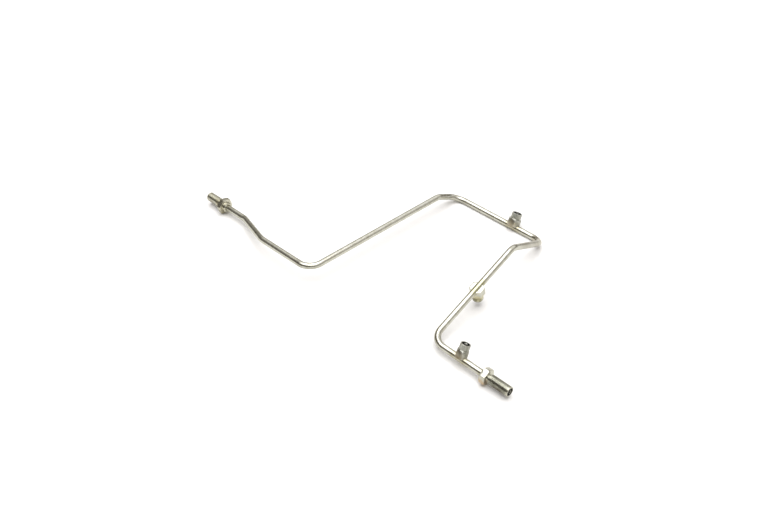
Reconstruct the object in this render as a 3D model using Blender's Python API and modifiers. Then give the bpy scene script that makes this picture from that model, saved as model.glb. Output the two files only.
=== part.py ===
# Bent tube assembly: a 3/8 inch steel line with brazed threaded ends and three ports.
# Metres, +Z up. The tube lies as photographed: on two end hexagons and its far run.
import math

import bmesh
import bpy
from mathutils import Matrix, Quaternion, Vector

# Main sizes: between the two end hexagons, and out to the far run
HEX_SPAN = 0.526
FAR_RUN_Y = 0.27465

# Tube
TUBE_OD = 0.009525
TUBE_WALL = 0.00124
BEND_RADIUS = 0.022
TUBE_SIDES = 24
BEND_STEP_DEG = 9.2
GAP = 0.0003

# Hexagons of the two end fittings, 7/8 and 13/16 inch; both rest on a corner, the left
# one turned away from upright
LEFT_HEX_AF = 0.022225
LEFT_HEX_TURN_DEG = -15.0
RIGHT_HEX_AF = 0.02064
LEFT_AXIS_Z = LEFT_HEX_AF / math.sqrt(3.0) * math.cos(math.radians(LEFT_HEX_TURN_DEG))
RIGHT_AXIS_Z = RIGHT_HEX_AF / math.sqrt(3.0)

# Route of the centre line: runs between the corners of the sharp route
LEFT_RUN = 0.049
JOG_RUN_X = 0.0697
JOG_OUT_Y = 0.02515
FRONT_RUN_X = 0.1045
FRONT_LEAN_Y = 0.0012
FRONT_Z_START = 0.0255
FRONT_Z_END = 0.028
CROSS_LEAN_X = 0.017
CROSS_BEFORE_FAR_Y = 0.0423
CROSS_END_Z = 0.025
DROP_LEAN_X = 0.0023
RETURN_LEAN_X = 0.0064
RETURN_BEFORE_FAR_Y = 0.0883
RETURN_TOP_Z = 0.0508
RETURN_END_LEAN_X = 0.012
RIGHT_START_Y = -0.00025
RIGHT_RUN = 0.0946
RIGHT_LEAN_Y = 0.0021
FAR_RUN_X = (HEX_SPAN - LEFT_RUN - JOG_RUN_X - FRONT_RUN_X - CROSS_LEAN_X - DROP_LEAN_X
             - RETURN_LEAN_X - RETURN_END_LEAN_X - RIGHT_RUN)

# End fittings, measured along the axis from the middle of the hexagon
END_THREAD_D = 0.01429
END_BORE_D = 0.0062
LEFT_HEX_BACK = 0.0040
LEFT_HEX_FRONT = 0.0035
LEFT_SOCKET_D = 0.0160
LEFT_SOCKET_LENGTH = 0.0055
LEFT_SOCKET_DEPTH = 0.0100
LEFT_TIP = 0.0350
RIGHT_HEX_BACK = 0.0050
RIGHT_HEX_FRONT = 0.0040
RIGHT_SOCKET_DEPTH = 0.0088
RIGHT_TIP = 0.0385
SOCKET_CHAMFER = 0.0008

# Port fittings, measured from the tube's axis outward
PORT_LEAN_DEG = 26.5
PORT_BORE_D = 0.0048
PORT_HEX_BASE = 0.0016
PORT_HEX_TOP = 0.0130
PORT_FACE = 0.0224
LARGE_THREAD_D = 0.015875
LARGE_HEX_AF = 0.01905
SMALL_THREAD_D = 0.01429
SMALL_HEX_AF = 0.015875
UNDER_HEX_BASE = -0.0020
UNDER_HEX_TOP = 0.0112
UNDER_PORT_FACE = 0.0222
FAR_PORT_DISTANCE = 0.665 * FAR_RUN_X
NEAR_PORT_DISTANCE = 0.0501
UNDER_PORT_DISTANCE = 0.0874

# Threads and face seals
THREAD_CHAMFER = 0.0005
UNDERCUT_DEPTH = 0.0009
UNDERCUT_WIDTH = 0.0018
SEAL_CORD_D = 0.0016
SEAL_GROOVE_DEPTH = 0.0015
SEAL_RIM = 0.0011

# Facets and cutters
TURNED_SIDES = 36
SEAL_SIDES = 28
SEAL_CORD_SIDES = 10
MILL_REACH = 0.006
CUTTER_OVERRUN = 0.002
SADDLE_CUTTER_LENGTH = 3.0 * LARGE_HEX_AF

# Empty the scene
for old in list(bpy.data.objects):
    bpy.data.objects.remove(old, do_unlink=True)

parts = bpy.data.collections.new("bent_tube_assembly")
cutters = bpy.data.collections.new("cutters")
bpy.context.scene.collection.children.link(parts)
bpy.context.scene.collection.children.link(cutters)


def material(name, colour, metallic, roughness):
    mat = bpy.data.materials.new(name)
    mat.use_nodes = True
    shader = mat.node_tree.nodes["Principled BSDF"]
    shader.inputs["Base Color"].default_value = colour
    shader.inputs["Metallic"].default_value = metallic
    shader.inputs["Roughness"].default_value = roughness
    return mat


def file_under(obj, collection):
    """Object kept in this collection only; a cutter is drawn as wire and never rendered."""
    for home in list(obj.users_collection):
        home.objects.unlink(obj)
    collection.objects.link(obj)
    if collection is cutters:
        obj.hide_render = True
        obj.display_type = "WIRE"


def new_object(name, mesh, collection, mat=None):
    obj = bpy.data.objects.new(name, mesh)
    file_under(obj, collection)
    if mat is not None:
        obj.data.materials.append(mat)
    return obj


# Route of the tube
left_hex = Vector((0.0, 0.0, LEFT_AXIS_Z))
corner_a = left_hex + Vector((LEFT_RUN, 0.0, 0.0))
corner_b = Vector((corner_a.x + JOG_RUN_X, -JOG_OUT_Y, FRONT_Z_START))
corner_c = Vector((corner_b.x + FRONT_RUN_X, -JOG_OUT_Y - FRONT_LEAN_Y, FRONT_Z_END))
corner_d = Vector((corner_c.x + CROSS_LEAN_X, FAR_RUN_Y - CROSS_BEFORE_FAR_Y, CROSS_END_Z))
corner_e = Vector((corner_d.x + DROP_LEAN_X, FAR_RUN_Y, TUBE_OD / 2.0))
corner_f = corner_e + Vector((FAR_RUN_X, 0.0, 0.0))
corner_g = Vector((corner_f.x + RETURN_LEAN_X, FAR_RUN_Y - RETURN_BEFORE_FAR_Y, RETURN_TOP_Z))
corner_h = Vector((corner_g.x + RETURN_END_LEAN_X, RIGHT_START_Y, RIGHT_AXIS_Z))
right_hex = corner_h + Vector((RIGHT_RUN, -RIGHT_LEAN_Y, 0.0))

left_way = Vector((-1.0, 0.0, 0.0))
far_way = Vector((1.0, 0.0, 0.0))
right_way = (right_hex - corner_h).normalized()
return_way = (corner_h - corner_g).normalized()
left_socket_floor = LEFT_SOCKET_DEPTH - LEFT_HEX_BACK - LEFT_SOCKET_LENGTH
right_socket_floor = RIGHT_SOCKET_DEPTH - RIGHT_HEX_BACK
tube_start = left_hex + left_way * (left_socket_floor - GAP)
tube_end = right_hex + right_way * (right_socket_floor - GAP)
route = [tube_start, corner_a, corner_b, corner_c, corner_d,
         corner_e, corner_f, corner_g, corner_h, tube_end]


def rounded(corners, radius):
    """Points along the route with an arc of the bend radius at each corner."""
    points = [corners[0]]
    for before, corner, after in zip(corners, corners[1:], corners[2:]):
        back = (before - corner).normalized()
        ahead = (after - corner).normalized()
        turn = math.pi - back.angle(ahead)
        tangent = radius * math.tan(turn / 2.0)
        start = corner + back * tangent
        centre = corner + (back + ahead).normalized() * (radius / math.cos(turn / 2.0))
        axis = (-back).cross(ahead).normalized()
        steps = max(2, round(math.degrees(turn) / BEND_STEP_DEG))
        for step in range(steps + 1):
            spin = Quaternion(axis, turn * step / steps)
            points.append(centre + spin @ (start - centre))
    points.append(corners[-1])
    return points


def swept_surface(name, points, diameter, sides):
    """Open round surface swept along the points."""
    curve = bpy.data.curves.new(name + "_route", "CURVE")
    curve.dimensions = "3D"
    curve.bevel_depth = diameter / 2.0
    curve.bevel_resolution = (sides - 4) // 2
    curve.use_fill_caps = False
    spline = curve.splines.new("POLY")
    spline.points.add(len(points) - 1)
    for slot, point in zip(spline.points, points):
        slot.co = (*point, 1.0)
    carrier = bpy.data.objects.new(name + "_route", curve)
    bpy.context.scene.collection.objects.link(carrier)
    bpy.context.view_layer.update()
    graph = bpy.context.evaluated_depsgraph_get()
    mesh = bpy.data.meshes.new_from_object(carrier.evaluated_get(graph))
    mesh.name = name
    bm = bmesh.new()
    bm.from_mesh(mesh)
    bmesh.ops.remove_doubles(bm, verts=bm.verts, dist=1e-6)
    bmesh.ops.recalc_face_normals(bm, faces=bm.faces)
    bm.to_mesh(mesh)
    bm.free()
    mesh.materials.clear()
    bpy.data.objects.remove(carrier, do_unlink=True)
    return mesh


def placed(origin, direction, side):
    """Matrix that puts local +Z along direction and local +X towards side."""
    z_axis = direction.normalized()
    x_axis = (side - z_axis * side.dot(z_axis)).normalized()
    y_axis = z_axis.cross(x_axis)
    turn = Matrix((x_axis, y_axis, z_axis)).transposed().to_4x4()
    return Matrix.Translation(origin) @ turn


def cut(obj, cutter):
    step = obj.modifiers.new("cut_" + cutter.name, "BOOLEAN")
    step.operation = "DIFFERENCE"
    step.solver = "EXACT"
    step.object = cutter


def turned(name, profile, matrix, mat):
    """Solid of revolution from a closed profile of (radius, height)."""
    points = [(radius, 0.0, height) for radius, height in profile]
    count = len(points)
    edges = [(i, (i + 1) % count) for i in range(count)]
    mesh = bpy.data.meshes.new(name)
    mesh.from_pydata(points, edges, [])
    obj = new_object(name, mesh, parts, mat)
    spin = obj.modifiers.new("turned", "SCREW")
    spin.axis = "Z"
    spin.angle = 2.0 * math.pi
    spin.steps = TURNED_SIDES
    spin.render_steps = TURNED_SIDES
    spin.use_merge_vertices = True
    spin.merge_threshold = 0.00001
    spin.use_normal_calculate = False
    obj.matrix_world = matrix
    return obj


def mill_flats(obj, across_flats, low, high, matrix):
    """Six flats milled on a turned blank by a ring with a hexagonal hole."""
    bm = bmesh.new()
    height = high - low + 2.0 * CUTTER_OVERRUN
    corner = across_flats / math.sqrt(3.0)
    to_middle = Matrix.Translation((0.0, 0.0, (low + high) / 2.0))
    corner_on_x = Matrix.Rotation(math.radians(90.0), 4, "Z")
    bmesh.ops.create_cone(bm, cap_ends=False, segments=6, radius1=corner, radius2=corner,
                          depth=height, matrix=to_middle @ corner_on_x)
    mesh = bpy.data.meshes.new(obj.name + "_flats")
    bm.to_mesh(mesh)
    bm.free()
    ring = new_object(obj.name + "_flats", mesh, cutters)
    reach = ring.modifiers.new("reach", "SOLIDIFY")
    reach.thickness = MILL_REACH
    reach.offset = 1.0
    reach.use_even_offset = True
    ring.matrix_world = matrix
    cut(obj, ring)


def rod(name, radius, length, matrix):
    """Round cutter from the local origin along local +Z."""
    bm = bmesh.new()
    bmesh.ops.create_cone(bm, cap_ends=True, segments=TURNED_SIDES, radius1=radius,
                          radius2=radius, depth=length,
                          matrix=Matrix.Translation((0.0, 0.0, length / 2.0)))
    mesh = bpy.data.meshes.new(name)
    bm.to_mesh(mesh)
    bm.free()
    obj = new_object(name, mesh, cutters)
    obj.matrix_world = matrix
    return obj


def groove_radii(thread_d):
    """Inner and outer radius of the face seal's groove."""
    outer = thread_d / 2.0 - SEAL_RIM
    return outer - SEAL_CORD_D - 2.0 * GAP, outer


def face_and_thread(thread_d, face, shoulder, undercut):
    """Profile points of the face, seal groove and thread, down to the hexagon."""
    groove_in, groove_out = groove_radii(thread_d)
    radius = thread_d / 2.0
    points = [
        (groove_in, face),
        (groove_in, face - SEAL_GROOVE_DEPTH),
        (groove_out, face - SEAL_GROOVE_DEPTH),
        (groove_out, face),
        (radius - THREAD_CHAMFER, face),
        (radius, face - THREAD_CHAMFER),
    ]
    if undercut:
        neck = radius - UNDERCUT_DEPTH
        points.append((radius, shoulder + UNDERCUT_WIDTH))
        points.append((neck, shoulder + UNDERCUT_WIDTH - UNDERCUT_DEPTH))
        points.append((neck, shoulder))
    else:
        points.append((radius, shoulder))
    return points


def hex_blank(across_flats, top, bottom, chamfer_bottom):
    """Profile points of the disc that the hexagon is milled from."""
    flat = across_flats / 2.0 - 0.0002
    disc = across_flats / math.sqrt(3.0) + 0.0003
    slope = (disc - flat) * math.tan(math.radians(30.0))
    points = [(flat, top), (disc, top - slope)]
    if chamfer_bottom:
        points += [(disc, bottom + slope), (flat, bottom)]
    else:
        points += [(disc, bottom)]
    return points


def face_seal(name, thread_d, face, matrix):
    """O-ring lying in its groove, a little proud of the face."""
    groove_in, groove_out = groove_radii(thread_d)
    cord = SEAL_CORD_D / 2.0
    bpy.ops.mesh.primitive_torus_add(
        major_segments=SEAL_SIDES, minor_segments=SEAL_CORD_SIDES,
        major_radius=(groove_in + groove_out) / 2.0, minor_radius=cord)
    seal = bpy.context.object
    seal.name = name
    seal.data.name = name
    file_under(seal, parts)
    seal.data.materials.append(seal_rubber)
    height = face - SEAL_GROOVE_DEPTH + GAP + cord
    seal.matrix_world = matrix @ Matrix.Translation((0.0, 0.0, height))


# Materials
tube_steel = material("plated_tube", (0.72, 0.71, 0.64, 1.0), 1.0, 0.22)
end_steel = material("plated_end_fittings", (0.70, 0.69, 0.61, 1.0), 1.0, 0.26)
port_steel = material("plated_port_fittings", (0.52, 0.50, 0.42, 1.0), 1.0, 0.34)
seal_rubber = material("seal_rubber", (0.015, 0.015, 0.015, 1.0), 0.0, 0.45)

# Bent tube: swept surface made hollow by its wall
tube_mesh = swept_surface("bent_tube", rounded(route, BEND_RADIUS), TUBE_OD, TUBE_SIDES)
tube = new_object("bent_tube", tube_mesh, parts, tube_steel)
wall = tube.modifiers.new("wall", "SOLIDIFY")
wall.thickness = TUBE_WALL
wall.offset = -1.0
wall.use_even_offset = True
wall.use_rim = True

# Left end fitting: braze socket, hexagon and threaded stub
upward = Vector((0.0, 0.0, 1.0))
left_turn = math.radians(LEFT_HEX_TURN_DEG)
left_corner = Vector((0.0, math.sin(left_turn), math.cos(left_turn)))
left_place = placed(left_hex, left_way, left_corner)
socket_r = TUBE_OD / 2.0 + GAP
left_back = -LEFT_HEX_BACK - LEFT_SOCKET_LENGTH
left_profile = face_and_thread(END_THREAD_D, LEFT_TIP, LEFT_HEX_FRONT, True)
left_profile += hex_blank(LEFT_HEX_AF, LEFT_HEX_FRONT, -LEFT_HEX_BACK, True)
left_profile += [
    (LEFT_SOCKET_D / 2.0, -LEFT_HEX_BACK),
    (LEFT_SOCKET_D / 2.0, left_back + SOCKET_CHAMFER),
    (LEFT_SOCKET_D / 2.0 - SOCKET_CHAMFER, left_back),
    (socket_r, left_back),
    (socket_r, left_socket_floor),
    (END_BORE_D / 2.0, left_socket_floor),
    (END_BORE_D / 2.0, LEFT_TIP),
]
left_end = turned("left_end_fitting", left_profile, left_place, end_steel)
mill_flats(left_end, LEFT_HEX_AF, -LEFT_HEX_BACK, LEFT_HEX_FRONT, left_place)

# Right end fitting: hexagon with the tube's socket, and a long bulkhead thread
right_place = placed(right_hex, right_way, upward)
right_profile = face_and_thread(END_THREAD_D, RIGHT_TIP, RIGHT_HEX_FRONT, False)
right_profile += hex_blank(RIGHT_HEX_AF, RIGHT_HEX_FRONT, -RIGHT_HEX_BACK, True)
right_profile += [
    (socket_r, -RIGHT_HEX_BACK),
    (socket_r, right_socket_floor),
    (END_BORE_D / 2.0, right_socket_floor),
    (END_BORE_D / 2.0, RIGHT_TIP),
]
right_end = turned("right_end_fitting", right_profile, right_place, end_steel)
mill_flats(right_end, RIGHT_HEX_AF, -RIGHT_HEX_BACK, RIGHT_HEX_FRONT, right_place)


def port_fitting(name, seat, direction, along, thread_d, across_flats, heights):
    """Hexagonal port saddled on the tube, with its hole through the tube's wall."""
    base, top, face = heights
    square_on = direction - along * direction.dot(along)
    place = placed(seat, square_on, along)
    profile = face_and_thread(thread_d, face, top, True)
    profile += hex_blank(across_flats, top, base, False)
    profile += [(PORT_BORE_D / 2.0, base), (PORT_BORE_D / 2.0, face)]
    port = turned(name, profile, place, port_steel)
    mill_flats(port, across_flats, base, top, place)
    saddle_start = seat - along * (SADDLE_CUTTER_LENGTH / 2.0)
    saddle_place = placed(saddle_start, along, square_on)
    cut(port, rod(name + "_saddle", TUBE_OD / 2.0 + GAP, SADDLE_CUTTER_LENGTH, saddle_place))
    cut(tube, rod(name + "_hole", PORT_BORE_D / 2.0, TUBE_OD, place))
    return place


lean = math.radians(PORT_LEAN_DEG)
up_and_back = Vector((0.0, math.sin(lean), math.cos(lean)))
upper_heights = (PORT_HEX_BASE, PORT_HEX_TOP, PORT_FACE)
under_heights = (UNDER_HEX_BASE, UNDER_HEX_TOP, UNDER_PORT_FACE)
far_place = port_fitting("far_port", corner_e + far_way * FAR_PORT_DISTANCE, up_and_back,
                         far_way, LARGE_THREAD_D, LARGE_HEX_AF, upper_heights)
near_place = port_fitting("near_port", corner_h + right_way * NEAR_PORT_DISTANCE, up_and_back,
                          right_way, SMALL_THREAD_D, SMALL_HEX_AF, upper_heights)
under_place = port_fitting("under_port", corner_g + return_way * UNDER_PORT_DISTANCE, -upward,
                           return_way, LARGE_THREAD_D, LARGE_HEX_AF, under_heights)

# Seals in the faces of all five fittings
face_seal("left_end_seal", END_THREAD_D, LEFT_TIP, left_place)
face_seal("right_end_seal", END_THREAD_D, RIGHT_TIP, right_place)
face_seal("far_port_seal", LARGE_THREAD_D, PORT_FACE, far_place)
face_seal("near_port_seal", SMALL_THREAD_D, PORT_FACE, near_place)
face_seal("under_port_seal", LARGE_THREAD_D, UNDER_PORT_FACE, under_place)

# Origin at the bottom centre of the whole assembly
bpy.context.view_layer.update()
graph = bpy.context.evaluated_depsgraph_get()
low = Vector((1.0, 1.0, 1.0))
high = Vector((-1.0, -1.0, -1.0))
for part in parts.objects:
    solid = part.evaluated_get(graph)
    shape = solid.to_mesh()
    for vertex in shape.vertices:
        spot = part.matrix_world @ vertex.co
        low = Vector(map(min, low, spot))
        high = Vector(map(max, high, spot))
    solid.to_mesh_clear()
shift = Vector(((low.x + high.x) / 2.0, (low.y + high.y) / 2.0, low.z))
for obj in list(parts.objects) + list(cutters.objects):
    obj.matrix_world = Matrix.Translation(-shift) @ obj.matrix_world
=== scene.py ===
# Bent tube assembly, dressed: a plated steel line with brazed threaded ends and three ports.
import math

import bpy
from mathutils import Matrix, Quaternion, Vector


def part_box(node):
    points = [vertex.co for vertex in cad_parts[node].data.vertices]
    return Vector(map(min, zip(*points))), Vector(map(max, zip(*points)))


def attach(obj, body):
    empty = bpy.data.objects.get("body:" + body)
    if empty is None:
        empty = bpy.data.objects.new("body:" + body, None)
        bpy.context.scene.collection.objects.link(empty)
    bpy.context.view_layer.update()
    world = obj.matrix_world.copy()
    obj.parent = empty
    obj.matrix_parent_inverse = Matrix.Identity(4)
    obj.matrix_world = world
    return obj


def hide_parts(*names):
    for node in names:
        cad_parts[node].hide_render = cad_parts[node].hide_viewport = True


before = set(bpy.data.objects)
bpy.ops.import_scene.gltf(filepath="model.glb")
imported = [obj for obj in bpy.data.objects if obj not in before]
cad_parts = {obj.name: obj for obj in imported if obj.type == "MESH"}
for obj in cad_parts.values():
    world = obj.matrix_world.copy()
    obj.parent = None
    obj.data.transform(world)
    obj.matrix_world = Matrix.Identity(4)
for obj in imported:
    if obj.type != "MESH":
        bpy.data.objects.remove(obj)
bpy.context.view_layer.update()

MM = 0.001

# Sizes repeated from the part's source, in millimetres
HEX_SPAN = 526.0
FAR_RUN_Y = 274.65
TUBE_OD = 9.525
TUBE_WALL = 1.24
BEND_RADIUS = 22.0
LEFT_HEX_AF = 22.225
LEFT_HEX_TURN_DEG = -15.0
RIGHT_HEX_AF = 20.64
LEFT_RUN = 49.0
JOG_RUN_X = 69.7
JOG_OUT_Y = 25.15
FRONT_RUN_X = 104.5
FRONT_LEAN_Y = 1.2
FRONT_Z_START = 25.5
FRONT_Z_END = 28.0
CROSS_LEAN_X = 17.0
CROSS_BEFORE_FAR_Y = 42.3
CROSS_END_Z = 25.0
DROP_LEAN_X = 2.3
RETURN_LEAN_X = 6.4
RETURN_BEFORE_FAR_Y = 88.3
RETURN_TOP_Z = 50.8
RETURN_END_LEAN_X = 12.0
RIGHT_START_Y = -0.25
RIGHT_RUN = 94.6
RIGHT_LEAN_Y = 2.1
FAR_RUN_X = (HEX_SPAN - LEFT_RUN - JOG_RUN_X - FRONT_RUN_X - CROSS_LEAN_X - DROP_LEAN_X
             - RETURN_LEAN_X - RETURN_END_LEAN_X - RIGHT_RUN)
END_THREAD_D = 14.29
END_BORE_D = 6.2
LEFT_TIP = 35.0
RIGHT_TIP = 38.5
LARGE_THREAD_D = 15.875
LARGE_HEX_AF = 19.05
SMALL_THREAD_D = 14.29
SMALL_HEX_AF = 15.875
PORT_BORE_D = 4.8
PORT_HEX_BASE = 1.6
PORT_HEX_TOP = 13.0
PORT_FACE = 22.4
UNDER_HEX_BASE = -2.0
UNDER_HEX_TOP = 11.2
UNDER_PORT_FACE = 22.2
PORT_LEAN_DEG = 26.5
FAR_PORT_DISTANCE = 0.665 * FAR_RUN_X
NEAR_PORT_DISTANCE = 50.1
UNDER_PORT_DISTANCE = 87.4
SEAL_CORD_D = 1.6
SEAL_GROOVE_DEPTH = 1.5

# Sizes of the dressing alone, in millimetres; the tooth's three are in parts of a pitch
THREAD_PITCH = 1.411
THREAD_DEPTH = 0.62
TOOTH_START = 0.14
TOOTH_FLANK = 0.26
TOOTH_CREST = 0.32
THREAD_CHAMFER = 0.45
END_THREAD_FADE = 0.6
PORT_THREAD_FADE = 0.9
CORE_UNDER_ROOT = 0.02
CORE_RIM_DROP = 0.12
HEX_LAND = 0.15
HEX_EDGE = 0.16
EDGE_BREAK = 0.08
# How far cutters reach past a face, and joined bodies into each other
CUT_PAST = 0.01
SUNK = 0.05
# Turned neck behind a thread, its foot on the hexagon, and where a port's core and thread start
PORT_NECK_DEPTH = 0.95
PORT_NECK_TOP = 1.5
PORT_CORE_FROM = 2.0
PORT_THREAD_FROM = 1.4
FOOT_WIDTH = 0.35
FOOT_RISE = 0.4
# Room around the tube, and how far it runs past the middle of each end's hexagon
SOCKET_ROOM = 0.08
SADDLE_ROOM = 0.05
TUBE_IN_LEFT = 0.2
TUBE_IN_RIGHT = 3.5
# The bore's mouth, inwards from the seal's groove
MOUTH_WALL = 0.55
MOUTH_LAND = 0.2
MOUTH_CHAMFER = 0.35
# The seal's ring: inwards from the thread, inner over outer radius, play, rise and flatness
RING_INSET = 1.6
RING_INNER_SHARE = 0.42
RING_SLACK = 0.04
RING_RAISED = 0.15
RING_FLATTENED = 0.6

# Brightness of the room that the metal mirrors: overhead, low down, what a patch low on the
# left adds, and at the window
ROOM_TOP = 1.05
ROOM_LOW = 0.18
ROOM_PATCH = 0.17
WINDOW = 0.62

# The left hexagon's place comes from the frame, and the route from the left hexagon
left_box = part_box("left_end_fitting")
left_turn = math.radians(LEFT_HEX_TURN_DEG)
left_hex = Vector((left_box[0].x / MM + LEFT_TIP, (left_box[0].y + left_box[1].y) / 2.0 / MM,
                   LEFT_HEX_AF / math.sqrt(3.0) * math.cos(left_turn)))
start = Vector((left_hex.x, left_hex.y, 0.0))
corner_a = left_hex + Vector((LEFT_RUN, 0.0, 0.0))
corner_b = start + Vector((LEFT_RUN + JOG_RUN_X, -JOG_OUT_Y, FRONT_Z_START))
corner_c = Vector((corner_b.x + FRONT_RUN_X, corner_b.y - FRONT_LEAN_Y, FRONT_Z_END))
far_y = start.y + FAR_RUN_Y
corner_d = Vector((corner_c.x + CROSS_LEAN_X, far_y - CROSS_BEFORE_FAR_Y, CROSS_END_Z))
corner_e = Vector((corner_d.x + DROP_LEAN_X, far_y, TUBE_OD / 2.0))
corner_f = corner_e + Vector((FAR_RUN_X, 0.0, 0.0))
corner_g = Vector((corner_f.x + RETURN_LEAN_X, far_y - RETURN_BEFORE_FAR_Y, RETURN_TOP_Z))
corner_h = start + Vector((corner_g.x - start.x + RETURN_END_LEAN_X, RIGHT_START_Y,
                           RIGHT_HEX_AF / math.sqrt(3.0)))
right_hex = corner_h + Vector((RIGHT_RUN, -RIGHT_LEAN_Y, 0.0))
left_way = Vector((-1.0, 0.0, 0.0))
far_way = Vector((1.0, 0.0, 0.0))
upward = Vector((0.0, 0.0, 1.0))
right_way = (right_hex - corner_h).normalized()
return_way = (corner_h - corner_g).normalized()


# Working helpers
def clear_selection():
    """Nothing selected, in object mode."""
    if bpy.context.object and bpy.context.object.mode != "OBJECT":
        bpy.ops.object.mode_set(mode="OBJECT")
    bpy.ops.object.select_all(action="DESELECT")


def pick(*pieces):
    """Only these pieces selected, the first one active."""
    clear_selection()
    for piece in pieces:
        piece.select_set(True)
    bpy.context.view_layer.objects.active = pieces[0]


def apply_all(piece):
    """Applies every modifier on the piece, in order."""
    pick(piece)
    for step in list(piece.modifiers):
        bpy.ops.object.modifier_apply(modifier=step.name)


def combine(piece, tool, operation):
    """Boolean with another piece, which is used up."""
    step = piece.modifiers.new("fit", "BOOLEAN")
    step.operation = operation
    step.solver = "EXACT"
    step.object = tool
    apply_all(piece)
    bpy.data.objects.remove(tool, do_unlink=True)


def tidy_faces(piece, merge_mm=0.002):
    """Doubles merged and every face turned outwards."""
    pick(piece)
    bpy.ops.object.mode_set(mode="EDIT")
    bpy.ops.mesh.select_all(action="SELECT")
    bpy.ops.mesh.remove_doubles(threshold=merge_mm * MM)
    bpy.ops.mesh.normals_make_consistent(inside=False)
    bpy.ops.object.mode_set(mode="OBJECT")


def drawn_profile(name, points):
    """Outline drawn by extruding one vertex from point to point (radius, height), closed."""
    clear_selection()
    bpy.ops.mesh.primitive_plane_add(size=0.001, location=(0.0, 0.0, 0.0))
    piece = bpy.context.object
    piece.name = name
    bpy.ops.object.mode_set(mode="EDIT")
    bpy.ops.mesh.select_all(action="SELECT")
    bpy.ops.mesh.merge(type="CENTER")
    radius, height = points[0]
    bpy.ops.transform.translate(value=(radius * MM, 0.0, height * MM))
    for (r0, h0), (r1, h1) in zip(points, points[1:]):
        step = ((r1 - r0) * MM, 0.0, (h1 - h0) * MM)
        bpy.ops.mesh.extrude_vertices_move(TRANSFORM_OT_translate={"value": step})
    return piece


def turned(name, points, sides=96):
    """Round piece spun from a closed outline of (radius, height)."""
    piece = drawn_profile(name, list(points) + [points[0]])
    bpy.ops.mesh.select_all(action="SELECT")
    bpy.ops.mesh.spin(steps=sides, angle=2.0 * math.pi, center=(0.0, 0.0, 0.0),
                      axis=(0.0, 0.0, 1.0))
    bpy.ops.object.mode_set(mode="OBJECT")
    tidy_faces(piece)
    return piece


def thread_sleeve(name, diameter, low, high, bottom_fade):
    """Rolled outside thread: one pitch of a 60 degree tooth screwed up the axis."""
    crest = diameter / 2.0
    root = crest - THREAD_DEPTH
    flank = TOOTH_FLANK * THREAD_PITCH
    land = TOOTH_START * THREAD_PITCH
    turns = int((high - low) / THREAD_PITCH) + 4
    piece = drawn_profile(name, [(root, 0.0), (root, land), (crest, land + flank),
                                 (crest, land + flank + TOOTH_CREST * THREAD_PITCH),
                                 (root, THREAD_PITCH)])
    bpy.ops.object.mode_set(mode="OBJECT")
    helix = piece.modifiers.new("helix", "SCREW")
    helix.axis = "Z"
    helix.steps = 48
    helix.render_steps = 48
    helix.screw_offset = THREAD_PITCH * MM
    helix.iterations = turns
    helix.use_merge_vertices = True
    helix.merge_threshold = 0.000002
    apply_all(piece)
    tidy_faces(piece)
    bpy.ops.object.mode_set(mode="EDIT")
    bpy.ops.mesh.select_all(action="SELECT")
    bpy.ops.transform.translate(value=(0.0, 0.0, (low - 1.5 * THREAD_PITCH) * MM))
    for height, upper in ((high, True), (low, False)):
        bpy.ops.mesh.select_all(action="SELECT")
        bpy.ops.mesh.bisect(plane_co=(0.0, 0.0, height * MM), plane_no=(0.0, 0.0, 1.0),
                            use_fill=True, clear_outer=upper, clear_inner=not upper)
    bpy.ops.object.mode_set(mode="OBJECT")
    tidy_faces(piece)
    inner = root - 0.5
    outer = crest + 0.03
    trim = turned(name + "_trim", [
        (crest - THREAD_CHAMFER, high + CUT_PAST), (outer, high - THREAD_CHAMFER),
        (outer, low + bottom_fade), (root, low - CUT_PAST), (inner, low - CUT_PAST),
        (inner, high + CUT_PAST)])
    combine(piece, trim, "INTERSECT")
    return piece


def milled_hexagon(name, across_flats, low, high, hole_r, chamfer_low):
    """Hexagon cut from bar: flats milled, corners turned at 30 degrees, edges eased."""
    clear_selection()
    bpy.ops.mesh.primitive_cylinder_add(vertices=6, radius=across_flats / math.sqrt(3.0) * MM,
                                        depth=(high - low) * MM,
                                        location=(0.0, 0.0, (low + high) / 2.0 * MM))
    piece = bpy.context.object
    piece.name = name
    bpy.ops.object.mode_set(mode="EDIT")
    bpy.ops.mesh.select_all(action="SELECT")
    # The primitive's first corner is on +Y; the part's hexagons have one on +X
    bpy.ops.transform.rotate(value=math.radians(90.0), orient_axis="Z",
                             center_override=(0.0, 0.0, 0.0))
    bpy.ops.object.mode_set(mode="OBJECT")
    bpy.ops.object.transform_apply(location=True, rotation=True, scale=True)
    flat = across_flats / 2.0
    reach = across_flats / math.sqrt(3.0) + 0.4
    slope = (reach - flat - HEX_LAND) * math.tan(math.radians(30.0))
    outline = [(flat + HEX_LAND, high + CUT_PAST), (reach, high - slope)]
    if chamfer_low:
        outline += [(reach, low + slope), (flat + HEX_LAND, low - CUT_PAST)]
    else:
        outline += [(reach, low - CUT_PAST)]
    outline += [(hole_r, low - CUT_PAST), (hole_r, high + CUT_PAST)]
    combine(piece, turned(name + "_turned", outline, 72), "INTERSECT")
    ease = piece.modifiers.new("eased", "BEVEL")
    ease.width = HEX_EDGE * MM
    ease.segments = 2
    ease.limit_method = "ANGLE"
    ease.angle_limit = math.radians(28.0)
    apply_all(piece)
    return piece


def placed(origin, direction, side):
    """Matrix that puts local +Z along direction and local +X towards side; origin in mm."""
    z_axis = direction.normalized()
    x_axis = (side - z_axis * side.dot(z_axis)).normalized()
    y_axis = z_axis.cross(x_axis)
    turn = Matrix((x_axis, y_axis, z_axis)).transposed().to_4x4()
    return Matrix.Translation(origin * MM) @ turn


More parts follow.
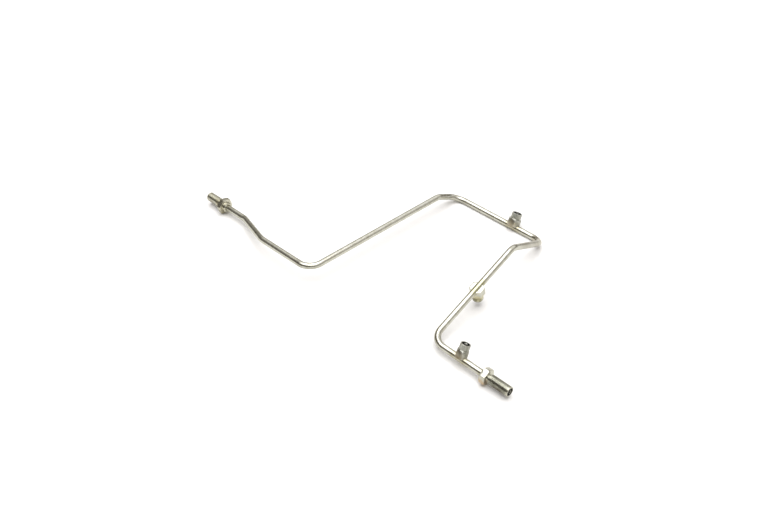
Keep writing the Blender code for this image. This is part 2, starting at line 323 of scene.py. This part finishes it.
def fix_in_place(piece, place, smooth_deg=32.0):
    """Piece moved to its place with the place kept in the mesh, smooth between gentle faces."""
    piece.matrix_world = place
    pick(piece)
    bpy.ops.object.transform_apply(location=True, rotation=True, scale=True)
    bpy.ops.object.shade_smooth_by_angle(angle=math.radians(smooth_deg))
    return piece


def groove_radii(thread_d):
    """Inner and outer radius of the seal's groove: a wide ring well inside the thread."""
    outer = thread_d / 2.0 - RING_INSET
    return RING_INNER_SHARE * outer, outer


def thread_core(thread_d):
    """Radius of the plain body just under the thread's root."""
    return thread_d / 2.0 - THREAD_DEPTH - CORE_UNDER_ROOT


def face_outline(thread_d, face):
    """Outline of the end face from the bore's mouth over the seal groove to the thread's core."""
    groove_in, groove_out = groove_radii(thread_d)
    groove_floor = face - SEAL_GROOVE_DEPTH
    return [(groove_in - MOUTH_WALL, face - MOUTH_CHAMFER), (groove_in - MOUTH_LAND, face),
            (groove_in - EDGE_BREAK, face), (groove_in, face - EDGE_BREAK),
            (groove_in, groove_floor), (groove_out, groove_floor),
            (groove_out, face - EDGE_BREAK), (groove_out + EDGE_BREAK, face),
            (thread_d / 2.0 - THREAD_CHAMFER, face),
            (thread_core(thread_d), face - CORE_RIM_DROP)]


# Colours
def linear(hex_colour):
    """sRGB hex to linear RGBA."""
    out = []
    for i in (0, 2, 4):
        c = int(hex_colour[i:i + 2], 16) / 255.0
        out.append(c / 12.92 if c <= 0.04045 else ((c + 0.055) / 1.055) ** 2.4)
    return (*out, 1.0)


def node(tree, kind, links=(), **settings):
    """Adds a node; settings are its properties or inputs, links go (input, from_socket)."""
    made = tree.nodes.new(kind)
    for key, value in settings.items():
        if hasattr(made, key):
            setattr(made, key, value)
        else:
            made.inputs[key.replace("_", " ")].default_value = value
    for slot, source in links:
        tree.links.new(source, made.inputs[slot])
    return made


def plated_steel(name, bright, shade, roughness, grain_bump, stains_and_painted_light):
    """Bright zinc plate over steel: a cool silver skin with faint olive clouds. Stains are
    (place, reach, fade, strength, colour): braze tint where brazing left it duller and warmer,
    and painted shade, painted reflection and painted light on runs, bends, facets and threads."""
    mat = bpy.data.materials.new(name)
    mat.use_nodes = True
    tree = mat.node_tree
    shader = tree.nodes["Principled BSDF"]
    shader.inputs["Metallic"].default_value = 1.0
    where = node(tree, "ShaderNodeTexCoord").outputs["Object"]
    # Plating clouds about 7 mm across
    clouds = node(tree, "ShaderNodeTexNoise", [("Vector", where)], Scale=140.0, Detail=3.0,
                  Roughness=0.6)
    cloud_mask = node(tree, "ShaderNodeMapRange", [("Value", clouds.outputs["Fac"])],
                      From_Min=0.38, From_Max=0.68)
    base = node(tree, "ShaderNodeMix", [("Factor", cloud_mask.outputs["Result"])],
                data_type="RGBA", A=linear(bright), B=linear(shade))
    colour = base.outputs["Result"]
    # Every patch, braze tint and painted shade or light alike, is a little uneven
    uneven = node(tree, "ShaderNodeMapRange", [("Value", cloud_mask.outputs["Result"])],
                  To_Min=0.65, To_Max=1.0)
    # Each entry mixes its colour in near its place: braze tint, painted shade and painted light
    for place, reach, fade, strength, stain_and_shade_colour in stains_and_painted_light:
        gap = node(tree, "ShaderNodeVectorMath", [(0, where)], operation="DISTANCE")
        gap.inputs[1].default_value = tuple(place * MM)
        near = node(tree, "ShaderNodeMapRange", [("Value", gap.outputs["Value"])],
                    interpolation_type="SMOOTHSTEP", From_Min=reach * MM,
                    From_Max=(reach + fade) * MM, To_Min=strength, To_Max=0.0)
        patch = node(tree, "ShaderNodeMath",
                     [(0, near.outputs["Result"]), (1, uneven.outputs["Result"])],
                     operation="MULTIPLY")
        stained_and_shaded = node(tree, "ShaderNodeMix", [("Factor", patch.outputs["Value"]), ("A", colour)],
                      data_type="RGBA", B=linear(stain_and_shade_colour))
        colour = stained_and_shaded.outputs["Result"]
    tree.links.new(colour, shader.inputs["Base Color"])
    # Drawn and tumbled grain, about 0.4 mm, a little coarse so that it shows
    grain = node(tree, "ShaderNodeTexNoise", [("Vector", where)], Scale=2600.0, Detail=2.0)
    smudge = node(tree, "ShaderNodeMapRange", [("Value", grain.outputs["Fac"])],
                  To_Min=roughness - 0.05, To_Max=roughness + 0.07)
    tree.links.new(smudge.outputs["Result"], shader.inputs["Roughness"])
    bump = node(tree, "ShaderNodeBump", [("Height", grain.outputs["Fac"])],
                Strength=grain_bump, Distance=0.00003)
    tree.links.new(bump.outputs["Normal"], shader.inputs["Normal"])
    return mat


def seal_material():
    """Moulded nitrile rubber: near black with a soft sheen and a trace of assembly grease."""
    mat = bpy.data.materials.new("moulded_nitrile_rubber")
    mat.use_nodes = True
    tree = mat.node_tree
    shader = tree.nodes["Principled BSDF"]
    where = node(tree, "ShaderNodeTexCoord").outputs["Object"]
    haze = node(tree, "ShaderNodeTexNoise", [("Vector", where)], Scale=900.0, Detail=3.0)
    skin = node(tree, "ShaderNodeMix", [("Factor", haze.outputs["Fac"])], data_type="RGBA",
                A=linear("060606"), B=linear("121211"))
    tree.links.new(skin.outputs["Result"], shader.inputs["Base Color"])
    shader.inputs["Specular IOR Level"].default_value = 0.06
    gloss = node(tree, "ShaderNodeMapRange", [("Value", haze.outputs["Fac"])],
                 To_Min=0.5, To_Max=0.7)
    tree.links.new(gloss.outputs["Result"], shader.inputs["Roughness"])
    return mat


# Camera, fitted to the photograph; its place is in millimetres from under the left hexagon
camera_data = bpy.data.cameras.new("camera")
camera = bpy.data.objects.new("camera", camera_data)
bpy.context.scene.collection.objects.link(camera)
bpy.context.scene.camera = camera
camera_data.sensor_width = 36.0
camera_data.sensor_fit = "HORIZONTAL"
camera_data.lens = 43.873
camera_data.clip_start = 0.05
camera_data.clip_end = 20.0
ahead = Vector((-0.521625, 0.557918, -0.645472)).normalized()
right = Vector((0.730467, 0.682949, 0.0)).normalized()
camera_up = right.cross(ahead).normalized()
camera_turn = Matrix((right, camera_up, -ahead)).transposed().to_4x4()
roll = Matrix.Rotation(math.radians(0.064), 4, "Z")
camera_place = start + Vector((1003.7, -693.85, 908.6))
camera.matrix_world = Matrix.Translation(camera_place * MM) @ camera_turn @ roll

# Route with its bends
end_in_left = left_hex + left_way * TUBE_IN_LEFT
end_in_right = right_hex + right_way * TUBE_IN_RIGHT
route = [end_in_left, corner_a, corner_b, corner_c, corner_d,
         corner_e, corner_f, corner_g, corner_h, end_in_right]


def rounded(corners, radius, step_deg):
    """Points along the route with an arc at each corner."""
    points = [corners[0]]
    for before, corner, after in zip(corners, corners[1:], corners[2:]):
        back = (before - corner).normalized()
        onward = (after - corner).normalized()
        turn = math.pi - back.angle(onward)
        tangent = corner + back * (radius * math.tan(turn / 2.0))
        centre = corner + (back + onward).normalized() * (radius / math.cos(turn / 2.0))
        axis = (-back).cross(onward).normalized()
        steps = max(4, round(math.degrees(turn) / step_deg))
        for step in range(steps + 1):
            arc = Quaternion(axis, turn * step / steps)
            points.append(centre + arc @ (tangent - centre))
    points.append(corners[-1])
    return points


bends = rounded(route, BEND_RADIUS, 3.0)

# Bent tube: a round bevel swept along the route, open at both ends, then given its wall
clear_selection()
bpy.ops.curve.primitive_nurbs_path_add(location=(0.0, 0.0, 0.0))
tube = bpy.context.object
tube.name = "drawn_tube"
line = tube.data
line.splines.clear()
line.dimensions = "3D"
line.bevel_depth = TUBE_OD / 2.0 * MM
line.bevel_resolution = 26
line.use_fill_caps = False
spline = line.splines.new("POLY")
spline.points.add(len(bends) - 1)
for slot, point in zip(spline.points, bends):
    slot.co = (*(point * MM), 1.0)
pick(tube)
bpy.ops.object.convert(target="MESH")
tube = bpy.context.object
tidy_faces(tube)
wall = tube.modifiers.new("wall", "SOLIDIFY")
wall.thickness = TUBE_WALL * MM
wall.offset = -1.0
wall.use_even_offset = True
apply_all(tube)
bpy.ops.object.shade_smooth_by_angle(angle=math.radians(40.0))

# Seats of the ports
lean = math.radians(PORT_LEAN_DEG)
up_and_back = Vector((0.0, math.sin(lean), math.cos(lean)))
far_seat = corner_e + far_way * FAR_PORT_DISTANCE
near_seat = corner_h + right_way * NEAR_PORT_DISTANCE
under_seat = corner_g + return_way * UNDER_PORT_DISTANCE

# Finishes; the ports' front is the facet towards the camera, darkened with painted shade, and the
#  end fittings' underside is the shaded strip of their threads, darkened with painted shade
front = far_way.cross(up_and_back)
underside = Vector((0.0, -0.772, -0.636))
tube_finish = plated_steel("zinc_plated_drawn_steel", "d6d5cc", "c6c4b6",
                           roughness=0.22, grain_bump=0.25, stains_and_painted_light=[
    # Near the left joint: braze tint, and painted shade darkening the run beside it
    (left_hex, 12.0, 16.0, 0.5, "8f8a70"),
    # Painted shade along the jog, the front run, around corner_c, the drop and the far run's start
    ((corner_a + corner_b) / 2.0, 24.0, 14.0, 0.05, "8a7c64"),
    (corner_b.lerp(corner_c, 0.8), 3.0, 8.0, 0.5, "8f8a7c"),
    (corner_c, 8.0, 22.0, 0.3, "8f8a7c"),
    ((corner_d + corner_e) / 2.0, 17.0, 12.0, 0.25, "9c968c"),
    (corner_e + far_way * 20.0, 4.0, 14.0, 0.35, "9c988c"),
    # Braze tint at the far port's seat
    (far_seat, 9.0, 14.0, 0.6, "a39872"),
    # Painted shade around corner_f and along the rising run
    (corner_f, 6.0, 20.0, 0.4, "987c50"),
    ((corner_f + corner_g) / 2.0, 24.0, 14.0, 0.45, "a39a90"),
    # Braze tint at the under port's seat
    (under_seat, 9.0, 14.0, 0.8, "b0ac80"),
    # Painted shade around corner_h
    (corner_h, 14.0, 16.0, 0.4, "969082"),
    # Braze tint at the near port's seat and at the right joint
    (near_seat, 9.0, 14.0, 0.6, "a39872"),
    (right_hex, 8.0, 10.0, 0.5, "a39872")])
end_finish = plated_steel("zinc_plated_turned_steel", "d2d1c6", "c2bfb0",
                          roughness=0.24, grain_bump=0.25, stains_and_painted_light=[
    # Braze tint on the left hexagon
    (left_hex, 12.0, 6.0, 0.12, "c0ae7a"),
    # Painted shade on the left hexagon's facet towards the camera
    (left_hex + Vector((4.0, -8.5, -7.0)), 4.0, 3.5, 0.45, "8a7c4c"),
    # Painted reflection of the floor, beige, on the right hexagon's lower facet
    (right_hex + Vector((-1.0, -8.0, -6.0)), 5.0, 5.0, 0.65, "c4a074"),
    # Painted shade darkening the right thread
    (right_hex + right_way * 22.0, 14.0, 3.0, 0.75, "84857a"),
    # Painted shade along the undersides of both threads, close to the floor
    (right_hex + right_way * 24.0 + underside * 32.0, 26.8, 1.8, 0.7, "5a4630"),
    (left_hex + left_way * 22.0 + underside * 32.0, 26.8, 1.8, 0.5, "6a5a40")])
port_finish = plated_steel("zinc_plated_bar_steel", "d0d1cb", "bdbcb2",
                           roughness=0.32, grain_bump=0.3, stains_and_painted_light=[
    # Braze tint at the base of each hexagon
    (far_seat, 13.0, 3.0, 0.2, "a39872"),
    (near_seat, 13.0, 3.0, 0.15, "a39872"),
    # Painted shade on the facets towards the camera and on the parts below them
    (far_seat + up_and_back * 3.5 + front * 10.5, 6.5, 4.0, 0.35, "b8a070"),
    (near_seat + up_and_back * 4.5 + front * 9.5 - far_way * 2.5, 7.0, 3.5, 0.65, "7d6c48"),
    (near_seat - up_and_back * 1.5 + front * 9.0 - far_way * 2.0, 4.5, 6.0, 0.75, "6e5c3a"),
    (far_seat - up_and_back * 2.0 + front * 10.0, 4.5, 6.0, 0.25, "8a6f48")])
# A paler copy of the port steel, painted light, so the under port's hexagon looks lit
under_finish = plated_steel("zinc_plated_bar_steel_pale", "d2d2c8", "c4c2b2",
                            roughness=0.30, grain_bump=0.3, stains_and_painted_light=[
    # Painted light, warm, on the hexagon
    (under_seat - upward * 12.5, 8.0, 4.0, 0.45, "fff0a8"),
    # Painted shade on the thread that points down to the floor
    (under_seat - upward * 20.0, 7.5, 2.0, 0.62, "6e6a4c")])
seal_finish = seal_material()


def finish(piece, mat, slot, *nodes):
    """Material, body and the CAD node that the piece stands for."""
    piece.data.materials.clear()
    piece.data.materials.append(mat)
    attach(piece, "root")
    if nodes:
        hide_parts(*nodes)


finish(tube, tube_finish, "plated_tube", "bent_tube")


def end_fitting(name, place, across_flats, tip, hex_low, hex_high, back, back_r, socket_floor,
                neck_length, neck_depth):
    """Turned body with hexagon and rolled thread, joined as one piece. Behind the hexagon a
    boss of radius back_r reaches to back; without back_r the body ends there."""
    neck = END_THREAD_D / 2.0 - neck_depth
    foot = neck + FOOT_WIDTH
    thread_low = hex_high + neck_length
    ramp = 0.2
    socket_r = TUBE_OD / 2.0 + SOCKET_ROOM
    lead_in = 0.3
    outline = face_outline(END_THREAD_D, tip)
    outline += [(thread_core(END_THREAD_D), thread_low + ramp), (neck, thread_low - ramp),
                (neck, hex_high + FOOT_RISE), (foot, hex_high - SUNK), (foot, hex_low + 0.1)]
    if back_r:
        boss_chamfer = 1.0
        outline += [(back_r + 0.4, hex_low - SUNK), (back_r, hex_low - 0.5),
                    (back_r, back + boss_chamfer), (back_r - boss_chamfer, back)]
    else:
        outline += [(neck - 0.3, back)]
    outline += [(socket_r + lead_in, back), (socket_r, back + lead_in),
                (socket_r, socket_floor), (END_BORE_D / 2.0, socket_floor)]
    body = turned(name, outline)
    hexagon = milled_hexagon(name + "_hexagon", across_flats, hex_low, hex_high, neck,
                             chamfer_low=True)
    thread = thread_sleeve(name + "_thread", END_THREAD_D, thread_low, tip - SUNK,
                           END_THREAD_FADE)
    pick(body, hexagon, thread)
    bpy.ops.object.join()
    return fix_in_place(body, place)


left_corner = Vector((0.0, math.sin(left_turn), math.cos(left_turn)))
left_place = placed(left_hex, left_way, left_corner)
right_place = placed(right_hex, right_way, upward)
left_end = end_fitting("left_end", left_place, LEFT_HEX_AF, LEFT_TIP, hex_low=-4.0,
                       hex_high=3.5, back=-9.5, back_r=8.0, socket_floor=0.5,
                       neck_length=1.0, neck_depth=1.2)
right_end = end_fitting("right_end", right_place, RIGHT_HEX_AF, RIGHT_TIP, hex_low=-5.0,
                        hex_high=4.0, back=-5.0, back_r=None, socket_floor=3.8,
                        neck_length=2.8, neck_depth=1.7)
finish(left_end, end_finish, "plated_end_fittings", "left_end_fitting")
finish(right_end, end_finish, "plated_end_fittings", "right_end_fitting")


def port(name, seat, direction, along, thread_d, across_flats, heights):
    """Port with its saddle milled to the tube; heights of its base, hexagon top and face."""
    base, top, face = heights
    place = placed(seat, direction - along * direction.dot(along), along)
    neck = thread_d / 2.0 - PORT_NECK_DEPTH
    foot = neck + FOOT_WIDTH
    body_base = base + 0.2
    outline = face_outline(thread_d, face)
    outline += [(thread_core(thread_d), top + PORT_CORE_FROM), (neck, top + PORT_NECK_TOP),
                (neck, top + FOOT_RISE), (foot, top - SUNK), (foot, body_base),
                (PORT_BORE_D / 2.0, body_base)]
    body = turned(name, outline)
    hexagon = milled_hexagon(name + "_hexagon", across_flats, base, top, neck,
                             chamfer_low=False)
    for part in (body, hexagon):
        clear_selection()
        bpy.ops.mesh.primitive_cylinder_add(vertices=96, depth=0.06,
                                            radius=(TUBE_OD / 2.0 + SADDLE_ROOM) * MM,
                                            rotation=(0.0, math.pi / 2.0, 0.0))
        combine(part, bpy.context.object, "DIFFERENCE")
    thread = thread_sleeve(name + "_thread", thread_d, top + PORT_THREAD_FROM, face - SUNK,
                           PORT_THREAD_FADE)
    pick(body, hexagon, thread)
    bpy.ops.object.join()
    return fix_in_place(body, place), place


upper_heights = (PORT_HEX_BASE, PORT_HEX_TOP, PORT_FACE)
under_heights = (UNDER_HEX_BASE, UNDER_HEX_TOP, UNDER_PORT_FACE)
far_port, far_place = port("far_port_body", far_seat, up_and_back, far_way,
                           LARGE_THREAD_D, LARGE_HEX_AF, upper_heights)
near_port, near_place = port("near_port_body", near_seat, up_and_back, right_way,
                             SMALL_THREAD_D, SMALL_HEX_AF, upper_heights)
under_port, under_place = port("under_port_body", under_seat, -upward, return_way,
                               LARGE_THREAD_D, LARGE_HEX_AF, under_heights)
finish(far_port, port_finish, "plated_port_fittings", "far_port")
finish(near_port, port_finish, "plated_port_fittings", "near_port")
finish(under_port, under_finish, "plated_port_fittings", "under_port")


def face_seal(name, thread_d, face, place, cad_node):
    """O-ring that fills its groove, flattened as if a fitting had pressed it."""
    groove_in, groove_out = groove_radii(thread_d)
    clear_selection()
    height = face - SEAL_GROOVE_DEPTH + SEAL_CORD_D / 2.0 + RING_RAISED
    bpy.ops.mesh.primitive_torus_add(major_radius=(groove_in + groove_out) / 2.0 * MM,
                                     minor_radius=(groove_out - groove_in - RING_SLACK) / 2.0 * MM,
                                     major_segments=72, minor_segments=20,
                                     location=(0.0, 0.0, height * MM))
    ring = bpy.context.object
    ring.name = name
    bpy.ops.object.mode_set(mode="EDIT")
    bpy.ops.mesh.select_all(action="SELECT")
    bpy.ops.transform.resize(value=(1.0, 1.0, RING_FLATTENED),
                             center_override=(0.0, 0.0, height * MM))
    bpy.ops.object.mode_set(mode="OBJECT")
    bpy.ops.object.transform_apply(location=True, rotation=True, scale=True)
    fix_in_place(ring, place, smooth_deg=60.0)
    finish(ring, seal_finish, "seal_rubber", cad_node)


face_seal("left_end_ring", END_THREAD_D, LEFT_TIP, left_place, "left_end_seal")
face_seal("right_end_ring", END_THREAD_D, RIGHT_TIP, right_place, "right_end_seal")
face_seal("far_port_ring", LARGE_THREAD_D, PORT_FACE, far_place, "far_port_seal")
face_seal("near_port_ring", SMALL_THREAD_D, PORT_FACE, near_place, "near_port_seal")
face_seal("under_port_ring", LARGE_THREAD_D, UNDER_PORT_FACE, under_place, "under_port_seal")

# Floor: white studio paper; it shows white and keeps the shadow
clear_selection()
bpy.ops.mesh.primitive_plane_add(size=12.0, location=(0.0, 0.0, 0.0))
floor = bpy.context.object
floor.name = "paper_floor"
floor_mat = bpy.data.materials.new("white_studio_paper")
floor_mat.use_nodes = True
floor_shader = floor_mat.node_tree.nodes["Principled BSDF"]
seen_directly = node(floor_mat.node_tree, "ShaderNodeLightPath").outputs["Is Camera Ray"]
paper = node(floor_mat.node_tree, "ShaderNodeMix", [("Factor", seen_directly)],
             data_type="RGBA", A=linear("e6e5e2"), B=linear("fdfcfd"))
floor_mat.node_tree.links.new(paper.outputs["Result"], floor_shader.inputs["Base Color"])
floor_shader.inputs["Roughness"].default_value = 0.8
floor_shader.inputs["Specular IOR Level"].default_value = 0.2
floor.data.materials.append(floor_mat)

# World: a pale room, bright overhead towards the far side and dark low down, with a window on
# the right and a fainter patch low on the left; the bright metal mirrors them
world = bpy.data.worlds.new("studio")
bpy.context.scene.world = world
world.use_nodes = True
sky = world.node_tree
backing = sky.nodes["Background"]
outward = node(sky, "ShaderNodeTexCoord").outputs["Generated"]


def facing(way, low, high, bottom, top):
    """Rises from bottom to top as the look turns towards the way; low and high are cosines."""
    towards = node(sky, "ShaderNodeVectorMath", [(0, outward)], operation="DOT_PRODUCT")
    towards.inputs[1].default_value = tuple(way.normalized())
    step = node(sky, "ShaderNodeMapRange", [("Value", towards.outputs["Value"])],
                interpolation_type="SMOOTHSTEP", From_Min=low, From_Max=high,
                To_Min=bottom, To_Max=top)
    return step.outputs["Result"]


tilted = facing(Vector((0.32, 0.38, 0.866)), 0.25, 0.65, 0.0, 1.0)
risen = facing(upward, 0.12, 0.50, 0.0, ROOM_TOP - ROOM_LOW)
window = facing(Vector((0.819, 0.435, 0.375)), 0.72, 0.92, 0.0, 1.0)
low_patch = facing(Vector((-0.75, 0.62, 0.22)), 0.80, 0.97, ROOM_LOW, ROOM_LOW + ROOM_PATCH)
room = node(sky, "ShaderNodeMath", [(0, tilted), (1, risen), (2, low_patch)],
            operation="MULTIPLY_ADD")
seen = node(sky, "ShaderNodeMix", [("Factor", window), ("A", room.outputs["Value"])],
            data_type="FLOAT", B=WINDOW)
sky.links.new(seen.outputs["Result"], backing.inputs["Strength"])
tone = node(sky, "ShaderNodeMix", [("Factor", seen.outputs["Result"])], data_type="RGBA",
            A=linear("efe6d4"), B=linear("fffefb"))
sky.links.new(tone.outputs["Result"], backing.inputs["Color"])

# Seen directly, the room is plain white
white = node(sky, "ShaderNodeBackground", Color=(1.0, 1.0, 1.0, 1.0))
direct = node(sky, "ShaderNodeLightPath").outputs["Is Camera Ray"]
either = node(sky, "ShaderNodeMixShader",
              [("Fac", direct), (1, backing.outputs["Background"]),
               (2, white.outputs["Background"])])
sky.links.new(either.outputs["Shader"], sky.nodes["World Output"].inputs["Surface"])

# Overhead soft box
lamp_data = bpy.data.lights.new("overhead_soft_box", "AREA")
lamp_data.shape = "SQUARE"
lamp_data.size = 2.3
lamp_data.energy = 38.5
lamp = bpy.data.objects.new("overhead_soft_box", lamp_data)
lamp.location = (-0.13, -0.26, 2.0)
bpy.context.scene.collection.objects.link(lamp)

bpy.context.scene.view_settings.view_transform = "Standard"
